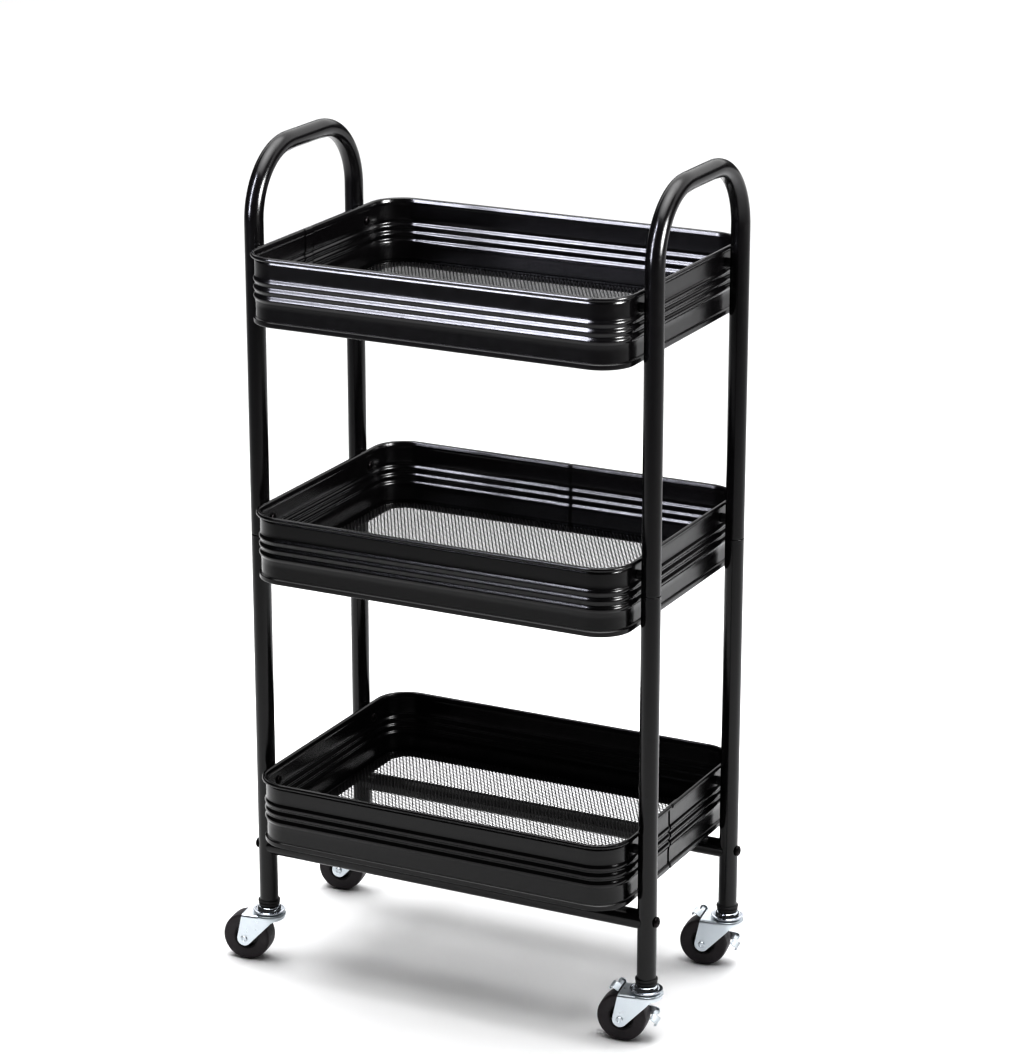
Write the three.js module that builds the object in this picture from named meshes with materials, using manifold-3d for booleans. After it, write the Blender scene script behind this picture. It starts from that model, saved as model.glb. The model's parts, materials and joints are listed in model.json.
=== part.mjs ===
// Three-tier bar cart on wheels: two bent-tube side frames, three pressed-steel trays with mesh floors,
// two cross bars and four swivel casters, the right-hand pair with foot brakes.
// Millimetres, +Z up, X along the trays' length, -Y is the front.

import * as THREE from "three";
import * as BufferGeometryUtils from "three/addons/utils/BufferGeometryUtils.js";
import Module from "manifold-3d";

const wasm = await Module();
wasm.setup();

// Clearances
const GAP = 0.3; // between pieces that rest on each other

// Side frames: an upper bent tube whose swaged ends plug into two straight legs
const TUBE_R = 9.5;
const TUBE_WALL = 1.2;
const TUBE_SIDES = 12;
const LEG_X = 212.8;
const LEG_Y = 99;
const LEG_BOTTOM = 67;
const LEG_JOINT = 460;
const HANDLE_TOP = 853;
const HANDLE_BEND_R = 69;
const BEND_STEPS = 6;
const SPIGOT_LENGTH = 26;

// Trays
const TRAYS = [
  { name: "bottom", rim: 217 },
  { name: "middle", rim: 496 },
  { name: "top", rim: 755 },
];
const TRAY_LENGTH = 406;
const TRAY_DEPTH = 300;
const TRAY_HEIGHT = 69;
const TRAY_CORNER_R = 36;
const CORNER_STEPS = 4;
const RIM_PROUD = 4;
const RIM_HEIGHT = 5;
const SHEET = 1.2;
const RIB_PROUD = 1.5;
const RIB_HEIGHT = 7;
const RIB_PITCH = 8.4;
const FIRST_RIB_DROP = 25.3;
const FOOT_HEIGHT = 6;
const FOOT_PROUD = 1.6;
const FLANGE_WIDTH = 12;
const MESH_THICKNESS = 1.2;

// Tray screws, driven from inside each tray into the side frame
const SCREW_DROP = 17;
const SCREW_SHANK_R = 2.2;
const SCREW_HOLE_R = 2.6;
const SCREW_HEAD_R = 4.6;
const SCREW_HEAD_HEIGHT = 2.4;
const SCREW_REACH = 4.2; // how far the shank reaches inside the tube

// Cross bars under the bottom tray
const BAR_Z = 127;
const BAR_PLUG_LENGTH = 14;
const BAR_SCREW_R = 2.8;
const BAR_HOLE_R = 3.2;
const BAR_SCREW_LENGTH = 34;
const BAR_HEAD_R = 5.6;
const BAR_HEAD_HEIGHT = 3.4;

// Casters
const WHEEL_R = 25;
const WHEEL_WIDTH = 21;
const HUB_R = 12.5;
const HUB_BOSS_R = 5.5;
const TRAIL = 22.5;
const TRAIL_ANGLE = THREE.MathUtils.degToRad(189);
const SOCKET_BOTTOM = 60;
const SOCKET_R = 11.2;
const SOCKET_PLUG_TOP = 92;
const STEM_R = 3.6;
const STEM_TOP = 86;
const RACE_R = 16.4;
const RACE_TOP = 59.7;
const RACE_LIP_DROP = 4.4; // from the dome's top down to the lip's top
const RACE_LIP = 1.6;
const CROWN_R = 17.4;
const CROWN_TOP = 52.6;
const CROWN_SHEET = 1.6;
const FORK_INNER = 14.2; // half the inside width between the fork's cheeks
const FORK_SHEET = 1.8;
const FORK_FRONT = 24.5; // the crown's straight edge over the wheel
const FORK_REAR = 11;
const FORK_TIP_R = 7.5;
const SKIRT_HEIGHT = 6.8; // of the crown's turned-down edge behind the swivel
const AXLE_R = 2.5;
const AXLE_HEAD_R = 3.6;
const AXLE_HEAD_HEIGHT = 1.6;
const BALL_COUNT = 6;
const BALL_R = 1.3;
const BALL_CIRCLE_R = 10.5;
const CAGE_SHEET = 0.8;
const WHEEL_SIDES = 16;
const ROUND_SIDES = 12;
const FASTENER_SIDES = 8;

// Foot brake, a rocker on the axle outside the fork's rear cheek
const BRAKE_SHEET = 1.6;
const TREAD_LENGTH = 8.4;
const TREAD_NEAR = -23.8; // the treads' ends across the wheel, from the rocker plate's face
const TREAD_FAR = -9;
const BRAKE_ARM_R = 4.2;
// Each arm's length, its direction from the trail and its tread's tilt, in degrees
const BRAKE_UPPER_ARM = { length: 29.6, angle: 76, tilt: -46 };
const BRAKE_LOWER_ARM = { length: 31.1, angle: 181, tilt: 28 };

// Name, side along X and place along Y of each leg
const FRAME_CORNERS = [
  ["front_left", -1, -LEG_Y],
  ["back_left", -1, LEG_Y],
  ["front_right", 1, -LEG_Y],
  ["back_right", 1, LEG_Y],
];

const FINISHES = {
  powder: { color: 0x121213, roughness: 0.38, metalness: 0 },
  zinc: { color: 0xb9c0ca, roughness: 0.32, metalness: 1 },
  chrome: { color: 0xd5d8dc, roughness: 0.12, metalness: 1 },
  plastic: { color: 0x161616, roughness: 0.5, metalness: 0 },
  rubber: { color: 0x1c1a1c, roughness: 0.6, metalness: 0 },
  blackScrew: { color: 0x17171a, roughness: 0.35, metalness: 0.6 },
  mesh: { color: 0x1a1a1b, roughness: 0.45, metalness: 0 },
};

const cart = new THREE.Group();

function addPiece(parent, name, geometry, finish) {
  const mesh = new THREE.Mesh(geometry, new THREE.MeshStandardMaterial(FINISHES[finish]));
  mesh.name = name;
  parent.add(mesh);
  return mesh;
}

// ---- Solids: conversion to and from the boolean library, and small builders ----

function merged(geometry) {
  const bare = geometry.clone();
  bare.deleteAttribute("normal");
  bare.deleteAttribute("uv");
  return BufferGeometryUtils.mergeVertices(bare, 1e-4);
}

function toSolid(geometry) {
  const bare = merged(geometry);
  return new wasm.Manifold(
    new wasm.Mesh({
      numProp: 3,
      vertProperties: Float32Array.from(bare.attributes.position.array),
      triVerts: Uint32Array.from(bare.index.array),
    }),
  );
}

function fromSolid(solid) {
  const mesh = solid.getMesh();
  const geometry = new THREE.BufferGeometry();
  geometry.setAttribute("position", new THREE.BufferAttribute(mesh.vertProperties, 3));
  geometry.setIndex(new THREE.BufferAttribute(mesh.triVerts, 1));
  return geometry;
}

function join(...geometries) {
  return fromSolid(geometries.map(toSolid).reduce((whole, piece) => whole.add(piece)));
}

function cut(geometry, ...cutters) {
  return fromSolid(cutters.map(toSolid).reduce((rest, cutter) => rest.subtract(cutter), toSolid(geometry)));
}

function placed(geometry, x, y, z) {
  return geometry.clone().translate(x, y, z);
}

// A solid of revolution about Z from [radius, height] points
function turned(points, sides = ROUND_SIDES) {
  const profile = points.map(([radius, height]) => new THREE.Vector2(radius, height));
  const open = profile[0].x > 0 || profile.at(-1).x > 0;
  if (open) {
    profile.push(profile[0].clone());
  }
  return new THREE.LatheGeometry(profile, sides).rotateX(Math.PI / 2);
}

// A plain rod along X, centred on x
function rodAlongX(radius, length, sides, x = 0) {
  return new THREE.CylinderGeometry(radius, radius, length, sides).rotateZ(Math.PI / 2).translate(x, 0, 0);
}

// A path that passes through chosen stations, so straight runs take a single step
class StationPath extends THREE.Curve {
  constructor(stations) {
    super();
    this.stations = stations;
  }

  nearest(t) {
    return this.stations[Math.round(t * (this.stations.length - 1))];
  }

  getPoint(t) {
    return this.nearest(t).point.clone();
  }

  getPointAt(u) {
    return this.getPoint(u);
  }

  getTangentAt(u) {
    return this.nearest(u).tangent.clone();
  }
}

function tubeSection(outer, wall) {
  const section = new THREE.Shape();
  section.absarc(0, 0, outer, 0, Math.PI * 2);
  const bore = new THREE.Path();
  bore.absarc(0, 0, outer - wall, 0, Math.PI * 2, true);
  section.holes.push(bore);
  return section;
}

// ---- Side frames ----

// The bent handle tube in the plane x = 0: up the front, over the top and down the back
function handleStations(bottom) {
  const stations = [];
  const top = HANDLE_TOP - TUBE_R;
  const bendY = LEG_Y - HANDLE_BEND_R;
  const bendZ = top - HANDLE_BEND_R;
  const station = (y, z, dy, dz) => ({
    point: new THREE.Vector3(0, y, z),
    tangent: new THREE.Vector3(0, dy, dz).normalize(),
  });
  stations.push(station(-LEG_Y, bottom, 0, 1));
  for (let i = 0; i <= BEND_STEPS; i++) {
    const angle = (Math.PI / 2) * (i / BEND_STEPS);
    const sin = Math.sin(angle);
    const cos = Math.cos(angle);
    stations.push(station(-bendY - HANDLE_BEND_R * cos, bendZ + HANDLE_BEND_R * sin, sin, cos));
  }
  for (let i = BEND_STEPS; i >= 0; i--) {
    const angle = (Math.PI / 2) * (i / BEND_STEPS);
    const sin = Math.sin(angle);
    const cos = Math.cos(angle);
    stations.push(station(bendY + HANDLE_BEND_R * cos, bendZ + HANDLE_BEND_R * sin, sin, -cos));
  }
  stations.push(station(LEG_Y, bottom, 0, -1));
  return stations;
}

// The reduced end of the handle tube that plugs into a leg
function swagedEnd() {
  const bore = TUBE_R - TUBE_WALL;
  const outer = bore - GAP;
  const inner = outer - TUBE_WALL;
  const weld = bore + TUBE_WALL / 2;
  return turned(
    [
      [inner, LEG_JOINT - SPIGOT_LENGTH],
      [outer, LEG_JOINT - SPIGOT_LENGTH],
      [outer, LEG_JOINT + GAP],
      [weld, LEG_JOINT + GAP + 1],
      [weld, LEG_JOINT + GAP + 6],
      [inner, LEG_JOINT + GAP + 6],
    ],
    TUBE_SIDES,
  );
}

function screwHole(side, y, z) {
  return placed(rodAlongX(SCREW_HOLE_R, 2 * TUBE_R, FASTENER_SIDES, -side * TUBE_R), 0, y, z);
}

function handleFrame(side) {
  const stations = handleStations(LEG_JOINT + GAP);
  const tube = new THREE.ExtrudeGeometry(tubeSection(TUBE_R, TUBE_WALL), {
    steps: stations.length - 1,
    curveSegments: TUBE_SIDES / 2,
    extrudePath: new StationPath(stations),
    bevelEnabled: false,
  });
  const ends = [-LEG_Y, LEG_Y].map((y) => placed(swagedEnd(), 0, y, 0));
  const holes = TRAYS.slice(1).flatMap((tray) =>
    [-LEG_Y, LEG_Y].map((y) => screwHole(side, y, tray.rim - SCREW_DROP)),
  );
  return cut(join(tube, ...ends), ...holes);
}

function leg(side) {
  const inner = TUBE_R - TUBE_WALL;
  const tube = turned(
    [
      [inner, LEG_BOTTOM],
      [TUBE_R, LEG_BOTTOM],
      [TUBE_R, LEG_JOINT],
      [inner, LEG_JOINT],
    ],
    TUBE_SIDES,
  );
  const trayHole = screwHole(side, 0, TRAYS[0].rim - SCREW_DROP);
  const barHole = placed(rodAlongX(BAR_HOLE_R, 3 * TUBE_R, FASTENER_SIDES), 0, 0, BAR_Z);
  return cut(tube, trayHole, barHole);
}

// ---- Trays ----

// Stations round a rounded rectangle: centre of each corner arc and its outward direction
function cornerStations() {
  const stations = [];
  const halfLength = TRAY_LENGTH / 2 - TRAY_CORNER_R;
  const halfDepth = TRAY_DEPTH / 2 - TRAY_CORNER_R;
  const corners = [[1, 1], [-1, 1], [-1, -1], [1, -1]];
  corners.forEach(([sx, sy], quarter) => {
    for (let i = 0; i <= CORNER_STEPS; i++) {
      const angle = (Math.PI / 2) * (quarter + i / CORNER_STEPS);
      stations.push({ x: sx * halfLength, y: sy * halfDepth, dx: Math.cos(angle), dy: Math.sin(angle) });
    }
  });
  return stations;
}

// A closed profile of [outward offset, height] points carried round the tray's outline
function ring(profile) {
  const stations = cornerStations();
  const count = profile.length;
  const positions = [];
  for (const { x, y, dx, dy } of stations) {
    for (const [offset, height] of profile) {
      const reach = TRAY_CORNER_R + offset;
      positions.push(x + dx * reach, y + dy * reach, height);
    }
  }
  const index = [];
  for (let s = 0; s < stations.length; s++) {
    const next = (s + 1) % stations.length;
    for (let p = 0; p < count; p++) {
      const q = (p + 1) % count;
      const [a, b, c, d] = [s * count + p, next * count + p, next * count + q, s * count + q];
      index.push(a, b, c, a, c, d);
    }
  }
  const geometry = new THREE.BufferGeometry();
  geometry.setAttribute("position", new THREE.Float32BufferAttribute(positions, 3));
  geometry.setIndex(index);
  return geometry;
}

// The wall band in section, anticlockwise: rolled rim, three ribs, foot bead and inward flange.
// Heights run down from the rim at 0.
function wallProfile() {
  const outer = -RIM_PROUD;
  const inner = outer - SHEET;
  const foot = -TRAY_HEIGHT;
  const points = [
    [inner, 0],
    [inner, foot + SHEET],
    [inner - FLANGE_WIDTH, foot + SHEET],
    [inner - FLANGE_WIDTH, foot],
    [outer + FOOT_PROUD, foot],
    [outer + FOOT_PROUD, foot + FOOT_HEIGHT - 1],
    [outer, foot + FOOT_HEIGHT],
  ];
  for (let rib = 2; rib >= 0; rib--) {
    const middle = -(FIRST_RIB_DROP + rib * RIB_PITCH);
    points.push([outer, middle - RIB_HEIGHT / 2]);
    points.push([outer + RIB_PROUD, middle]);
    points.push([outer, middle + RIB_HEIGHT / 2]);
  }
  points.push([outer, -RIM_HEIGHT], [-1, -RIM_HEIGHT], [0, 1 - RIM_HEIGHT], [0, -1], [-1, 0]);
  return points;
}

const wallInnerX = TRAY_LENGTH / 2 - RIM_PROUD - SHEET;
const wallOuterX = TRAY_LENGTH / 2 - RIM_PROUD;

function trayWall() {
  const holes = [];
  for (const side of [-1, 1]) {
    for (const y of [-LEG_Y, LEG_Y]) {
      holes.push(placed(rodAlongX(SCREW_HOLE_R, 12, FASTENER_SIDES), side * wallOuterX, y, -SCREW_DROP));
    }
  }
  return cut(ring(wallProfile()), ...holes);
}

// The mesh floor as a plain sheet, lying on the wall's flange
function meshFloor() {
  const reach = TRAY_CORNER_R - RIM_PROUD - SHEET - GAP;
  const outline = new THREE.Shape(
    cornerStations().map(({ x, y, dx, dy }) => new THREE.Vector2(x + dx * reach, y + dy * reach)),
  );
  return new THREE.ExtrudeGeometry(outline, { depth: MESH_THICKNESS, bevelEnabled: false })
    .translate(0, 0, SHEET + GAP - TRAY_HEIGHT);
}

// A screw that holds a tray to a side frame, its head inside the tray
function trayScrew(side) {
  const tip = LEG_X - TUBE_R + SCREW_REACH;
  const headFace = wallInnerX - GAP;
  return turned([
    [0, headFace - SCREW_HEAD_HEIGHT],
    [SCREW_HEAD_R, headFace - SCREW_HEAD_HEIGHT / 2],
    [SCREW_HEAD_R, headFace],
    [SCREW_SHANK_R, headFace],
    [SCREW_SHANK_R, tip],
    [0, tip],
  ], FASTENER_SIDES).rotateY(side * Math.PI / 2);
}

function addTray({ name, rim }) {
  const tray = new THREE.Group();
  tray.position.z = rim;
  addPiece(tray, `${name}_tray_wall`, trayWall(), "powder");
  addPiece(tray, `${name}_tray_mesh`, meshFloor(), "mesh");
  for (const [end, side, y] of FRAME_CORNERS) {
    const screw = addPiece(tray, `${name}_tray_screw_${end}`, trayScrew(side), "blackScrew");
    screw.position.set(0, y, -SCREW_DROP);
  }
  cart.add(tray);
}

// ---- Cross bars ----

// A tube between two legs, both ends coped round them and closed by a welded-in threaded plug
function crossBar() {
  const bore = TUBE_R - TUBE_WALL;
  const tube = turned([[bore, -LEG_X], [TUBE_R, -LEG_X], [TUBE_R, LEG_X], [bore, LEG_X]], TUBE_SIDES);
  const plugOuter = LEG_X - TUBE_R - 1.5;
  const plug = turned([
    [BAR_SCREW_R + GAP, plugOuter - BAR_PLUG_LENGTH],
    [bore + TUBE_WALL / 2, plugOuter - BAR_PLUG_LENGTH],
    [bore + TUBE_WALL / 2, plugOuter],
    [BAR_SCREW_R + GAP, plugOuter],
  ], TUBE_SIDES);
  const bar = join(tube, plug, plug.clone().rotateX(Math.PI)).rotateY(Math.PI / 2);
  const cope = new THREE.CylinderGeometry(TUBE_R + GAP, TUBE_R + GAP, 3 * TUBE_R, TUBE_SIDES)
    .rotateX(Math.PI / 2);
  return cut(bar, placed(cope, -LEG_X, 0, 0), placed(cope, LEG_X, 0, 0));
}

// Round-headed screw driven through a leg from outside into a bar's plug
function barScrew(side) {
  const headFace = LEG_X + TUBE_R + GAP;
  return turned([
    [0, headFace - BAR_SCREW_LENGTH],
    [BAR_SCREW_R, headFace - BAR_SCREW_LENGTH],
    [BAR_SCREW_R, headFace],
    [BAR_HEAD_R, headFace],
    [BAR_HEAD_R, headFace + BAR_HEAD_HEIGHT * 0.45],
    [BAR_HEAD_R * 0.6, headFace + BAR_HEAD_HEIGHT],
    [0, headFace + BAR_HEAD_HEIGHT],
  ], FASTENER_SIDES).rotateY(side * Math.PI / 2);
}

// ---- Casters, built about the swivel axis at x = y = 0, trailing along +X ----

// Moulded socket: a plug up the leg and a stepped collar under it
function socket() {
  const plug = TUBE_R - TUBE_WALL - GAP;
  const collarTop = LEG_BOTTOM - GAP;
  const step = (SOCKET_BOTTOM + collarTop) / 2;
  const bore = STEM_R + GAP;
  return turned([
    [bore, SOCKET_BOTTOM],
    [SOCKET_R, SOCKET_BOTTOM],
    [SOCKET_R, step],
    [SOCKET_R - 0.8, step],
    [SOCKET_R - 0.8, collarTop],
    [plug, collarTop],
    [plug - 0.6, SOCKET_PLUG_TOP],
    [bore, SOCKET_PLUG_TOP],
  ]);
}

// Stem with the domed upper race riveted to it
function stemAndRace() {
  const ceiling = CROWN_TOP + 2 * BALL_R + 2 * GAP;
  const rivetTop = CROWN_TOP - CROWN_SHEET - 1;
  return turned([
    [0, rivetTop - 2],
    [6, rivetTop - 2],
    [6, rivetTop],
    [STEM_R, rivetTop],
    [STEM_R, ceiling],
    [BALL_CIRCLE_R + 2, ceiling],
    [RACE_R - 1.4, RACE_TOP - RACE_LIP_DROP - RACE_LIP],
    [RACE_R, RACE_TOP - RACE_LIP_DROP - RACE_LIP],
    [RACE_R, RACE_TOP - RACE_LIP_DROP],
    [BALL_CIRCLE_R, RACE_TOP],
    [STEM_R, RACE_TOP],
    [STEM_R, STEM_TOP],
    [0, STEM_TOP],
  ]);
}

// The swivel bearing: balls held in a thin flat cage
function ballCage() {
  const middle = CROWN_TOP + GAP + BALL_R;
  const cage = turned([
    [BALL_CIRCLE_R - 1.3, middle - CAGE_SHEET / 2],
    [BALL_CIRCLE_R + 1.3, middle - CAGE_SHEET / 2],
    [BALL_CIRCLE_R + 1.3, middle + CAGE_SHEET / 2],
    [BALL_CIRCLE_R - 1.3, middle + CAGE_SHEET / 2],
  ]);
  const balls = [];
  for (let i = 0; i < BALL_COUNT; i++) {
    const angle = (i / BALL_COUNT) * 2 * Math.PI;
    const ball = new THREE.OctahedronGeometry(BALL_R);
    balls.push(placed(ball, BALL_CIRCLE_R * Math.cos(angle), BALL_CIRCLE_R * Math.sin(angle), middle));
  }
  return join(cage, ...balls);
}

// One cheek's outline in the plane of the wheel: wide at the crown, a round tip at the axle
function cheekOutline() {
  const top = CROWN_TOP - 0.2;
  const outline = new THREE.Shape();
  outline.moveTo(-FORK_REAR, top);
  outline.lineTo(-FORK_REAR, top - 2);
  outline.lineTo(-8, top - 7.5);
  outline.absarc(TRAIL, WHEEL_R, FORK_TIP_R, Math.PI * 1.24, Math.PI * 2.03);
  outline.lineTo(FORK_FRONT, top);
  return outline;
}

function fork() {
  const half = FORK_INNER + FORK_SHEET;
  const crown = turned([
    [0, CROWN_TOP - CROWN_SHEET],
    [CROWN_R, CROWN_TOP - CROWN_SHEET],
    [CROWN_R, CROWN_TOP],
    [0, CROWN_TOP],
  ]);
  const length = FORK_REAR + FORK_FRONT;
  const skirt = turned([
    [FORK_INNER, CROWN_TOP - SKIRT_HEIGHT],
    [half, CROWN_TOP - SKIRT_HEIGHT],
    [half, CROWN_TOP - 0.2],
    [FORK_INNER, CROWN_TOP - 0.2],
  ]);
  const rearSkirt = cut(skirt, new THREE.BoxGeometry(60, 60, 60).translate(30, 0, CROWN_TOP));
  const bridge = new THREE.BoxGeometry(length, 2 * half, CROWN_SHEET)
    .translate((FORK_FRONT - FORK_REAR) / 2, 0, CROWN_TOP - CROWN_SHEET / 2);
  const stemHole = new THREE.CylinderGeometry(STEM_R + 1, STEM_R + 1, 20, ROUND_SIDES)
    .rotateX(Math.PI / 2)
    .translate(0, 0, CROWN_TOP);
  const cheek = new THREE.ExtrudeGeometry(cheekOutline(), {
    depth: FORK_SHEET,
    bevelEnabled: false,
    curveSegments: 3,
  }).rotateX(Math.PI / 2);
  const hole = alongAxle(new THREE.CylinderGeometry(AXLE_R + GAP, AXLE_R + GAP, 60, FASTENER_SIDES));
  return cut(
    join(crown, rearSkirt, bridge, placed(cheek, 0, half, 0), placed(cheek, 0, -FORK_INNER, 0)),
    stemHole,
    hole,
  );
}

// Anything made about the origin along Y, moved to the axle
function alongAxle(geometry) {
  return placed(geometry, TRAIL, 0, WHEEL_R);
}

// Solid of revolution about the axle from [radius, offset along the axle] points
function turnedOnAxle(points, sides = ROUND_SIDES) {
  return alongAxle(turned(points, sides).rotateX(-Math.PI / 2));
}

function axle(braked) {
  const face = FORK_INNER + FORK_SHEET + GAP;
  const farFace = face + (braked ? BRAKE_SHEET + GAP : 0);
  return turnedOnAxle([
    [0, -farFace - AXLE_HEAD_HEIGHT],
    [AXLE_HEAD_R, -farFace - AXLE_HEAD_HEIGHT * 0.5],
    [AXLE_HEAD_R, -farFace],
    [AXLE_R, -farFace],
    [AXLE_R, face],
    [AXLE_HEAD_R, face],
    [AXLE_HEAD_R, face + AXLE_HEAD_HEIGHT * 0.5],
    [0, face + AXLE_HEAD_HEIGHT],
  ], FASTENER_SIDES);
}

function wheelHub() {
  const half = WHEEL_WIDTH / 2;
  const bore = AXLE_R + GAP;
  const web = 4;
  return turnedOnAxle([
    [bore, -half - 2],
    [HUB_BOSS_R, -half - 2],
    [HUB_BOSS_R, -web],
    [HUB_R - 1.5, -web],
    [HUB_R - 1.5, 1.5 - half],
    [HUB_R, 1.5 - half],
    [HUB_R, half - 1.5],
    [HUB_R - 1.5, half - 1.5],
    [HUB_R - 1.5, web],
    [HUB_BOSS_R, web],
    [HUB_BOSS_R, half + 2],
    [bore, half + 2],
  ]);
}

function tyre() {
  const half = WHEEL_WIDTH / 2;
  return turnedOnAxle([
    [HUB_R + GAP, -half],
    [WHEEL_R - 1.5, -half],
    [WHEEL_R, 3 - half],
    [WHEEL_R, half - 3],
    [WHEEL_R - 1.5, half],
    [HUB_R + GAP, half],
  ], WHEEL_SIDES);
}

// One arm of the brake rocker, with a tread for the foot turned across the wheel at its end
function brakeArm({ length, angle, tilt }) {
  const outline = new THREE.Shape();
  outline.absarc(0, 0, BRAKE_ARM_R + 2, Math.PI / 2, Math.PI * 1.5);
  outline.absarc(length - 3, 0, BRAKE_ARM_R, -Math.PI / 2, Math.PI / 2);
  const arm = new THREE.ExtrudeGeometry(outline, {
    depth: BRAKE_SHEET,
    bevelEnabled: false,
    curveSegments: 2,
  });
  const tread = new THREE.BoxGeometry(TREAD_LENGTH, BRAKE_SHEET, TREAD_FAR - TREAD_NEAR)
    .translate(0, 0, (TREAD_FAR + TREAD_NEAR) / 2);
  const strapWidth = BRAKE_SHEET - TREAD_FAR + 1;
  const strap = new THREE.BoxGeometry(TREAD_LENGTH / 2, BRAKE_SHEET, strapWidth)
    .translate(-TREAD_LENGTH / 4, 0, BRAKE_SHEET - strapWidth / 2);
  const foot = join(tread, strap).rotateZ(THREE.MathUtils.degToRad(tilt)).translate(length, 0, 0);
  return join(arm, foot).rotateZ(THREE.MathUtils.degToRad(angle)).rotateX(Math.PI / 2);
}

function brakeLever() {
  const hole = new THREE.CylinderGeometry(AXLE_R + GAP, AXLE_R + GAP, 20, FASTENER_SIDES);
  const near = FORK_INNER + FORK_SHEET + GAP;
  const rocker = join(brakeArm(BRAKE_UPPER_ARM), brakeArm(BRAKE_LOWER_ARM));
  return alongAxle(placed(cut(rocker, hole), 0, -near, 0));
}

function addCaster(corner, side, y, braked) {
  const caster = new THREE.Group();
  caster.position.set(side * LEG_X, y, 0);
  addPiece(caster, `${corner}_caster_socket`, socket(), "plastic");
  addPiece(caster, `${corner}_caster_stem`, stemAndRace(), "chrome");
  const swivel = new THREE.Group();
  swivel.rotation.z = TRAIL_ANGLE;
  addPiece(swivel, `${corner}_caster_fork`, fork(), "zinc");
  addPiece(swivel, `${corner}_caster_bearing`, ballCage(), "chrome");
  addPiece(swivel, `${corner}_caster_axle`, axle(braked), "zinc");
  addPiece(swivel, `${corner}_caster_hub`, wheelHub(), "plastic");
  addPiece(swivel, `${corner}_caster_tyre`, tyre(), "rubber");
  if (braked) {
    addPiece(swivel, `${corner}_caster_brake`, brakeLever(), "zinc");
  }
  caster.add(swivel);
  cart.add(caster);
}

// ---- Assembly ----

for (const [sideName, side] of [["left", -1], ["right", 1]]) {
  addPiece(cart, `handle_frame_${sideName}`, handleFrame(side), "powder").position.x = side * LEG_X;
}
for (const [corner, side, y] of FRAME_CORNERS) {
  addPiece(cart, `leg_${corner}`, leg(side), "powder").position.set(side * LEG_X, y, 0);
  addPiece(cart, `cross_bar_screw_${corner}`, barScrew(side), "blackScrew").position.set(0, y, BAR_Z);
  addCaster(corner, side, y, side > 0);
}
for (const tray of TRAYS) {
  addTray(tray);
}
for (const [end, y] of [["front", -LEG_Y], ["back", LEG_Y]]) {
  addPiece(cart, `cross_bar_${end}`, crossBar(), "powder").position.set(0, y, BAR_Z);
}

// The origin stands on the floor under the middle of the whole cart, casters included
cart.updateMatrixWorld(true);
const box = new THREE.Box3().setFromObject(cart, true);
cart.position.x = -(box.min.x + box.max.x) / 2;
cart.position.y = -(box.min.y + box.max.y) / 2;

export default cart;
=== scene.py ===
"""Three-tier bar cart on wheels: the fine visual model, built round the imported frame.

Satin black powder-coated steel trays and side frames, open mesh floors, and four plated swivel
casters with black wheels. Lengths written as `3.4 * MM` are millimetres; Blender's unit is the metre.
"""
import json
import math

import bmesh
import bpy
from mathutils import Matrix, Vector


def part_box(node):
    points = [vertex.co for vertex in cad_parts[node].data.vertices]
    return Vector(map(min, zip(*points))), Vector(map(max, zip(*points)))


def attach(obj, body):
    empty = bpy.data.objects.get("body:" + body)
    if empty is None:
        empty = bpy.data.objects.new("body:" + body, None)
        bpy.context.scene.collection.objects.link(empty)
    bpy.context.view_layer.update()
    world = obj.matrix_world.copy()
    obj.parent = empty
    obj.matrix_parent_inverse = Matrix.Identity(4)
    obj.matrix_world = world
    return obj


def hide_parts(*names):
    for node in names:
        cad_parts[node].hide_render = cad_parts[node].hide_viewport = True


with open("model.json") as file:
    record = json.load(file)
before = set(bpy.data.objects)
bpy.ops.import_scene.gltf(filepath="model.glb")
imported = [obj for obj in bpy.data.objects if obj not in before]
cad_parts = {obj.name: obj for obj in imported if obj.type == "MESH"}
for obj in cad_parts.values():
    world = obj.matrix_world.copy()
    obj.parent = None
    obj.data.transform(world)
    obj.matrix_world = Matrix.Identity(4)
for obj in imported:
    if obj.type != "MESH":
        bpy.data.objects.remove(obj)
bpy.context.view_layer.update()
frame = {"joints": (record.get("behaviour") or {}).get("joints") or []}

MM = 0.001
TAU = 2 * math.pi

# ---- Places and sizes, read from the frame ----

CORNERS = ["front_left", "back_left", "front_right", "back_right"]
TRAYS = ["bottom", "middle", "top"]
JOINTS = {joint["name"]: joint for joint in frame["joints"]}


def middle_of(node):
    """The middle of a node's box."""
    low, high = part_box(node)
    return (low + high) / 2


def size_of(node):
    """The three sides of a node's box."""
    low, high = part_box(node)
    return high - low


TUBE_R = size_of("leg_front_left").x / 2
LEGS = {corner: middle_of(f"leg_{corner}") for corner in CORNERS}
LEG_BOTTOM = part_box("leg_front_left")[0].z
LEG_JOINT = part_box("leg_front_left")[1].z
HANDLE_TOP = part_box("handle_frame_left")[1].z
CART_X = (LEGS["front_left"].x + LEGS["front_right"].x) / 2
LEG_REACH = (LEGS["front_right"].x - LEGS["front_left"].x) / 2
LEG_Y = LEGS["back_left"].y
TUBE_WALL = 1.2 * MM
HANDLE_BEND_R = 69 * MM
BAR_Z = middle_of("cross_bar_front").z

TRAY_SIZE = size_of("top_tray_wall")
TRAY_CORNER_R = 36 * MM
RIM_ROLL_R = 2.3 * MM
SHEET = 0.8 * MM
WALL_LINE = -4.2 * MM  # middle of the sheet, inwards from the rim's outer edge
TRAY_SCREW_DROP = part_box("top_tray_wall")[1].z - middle_of("top_tray_screw_front_left").z

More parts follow.
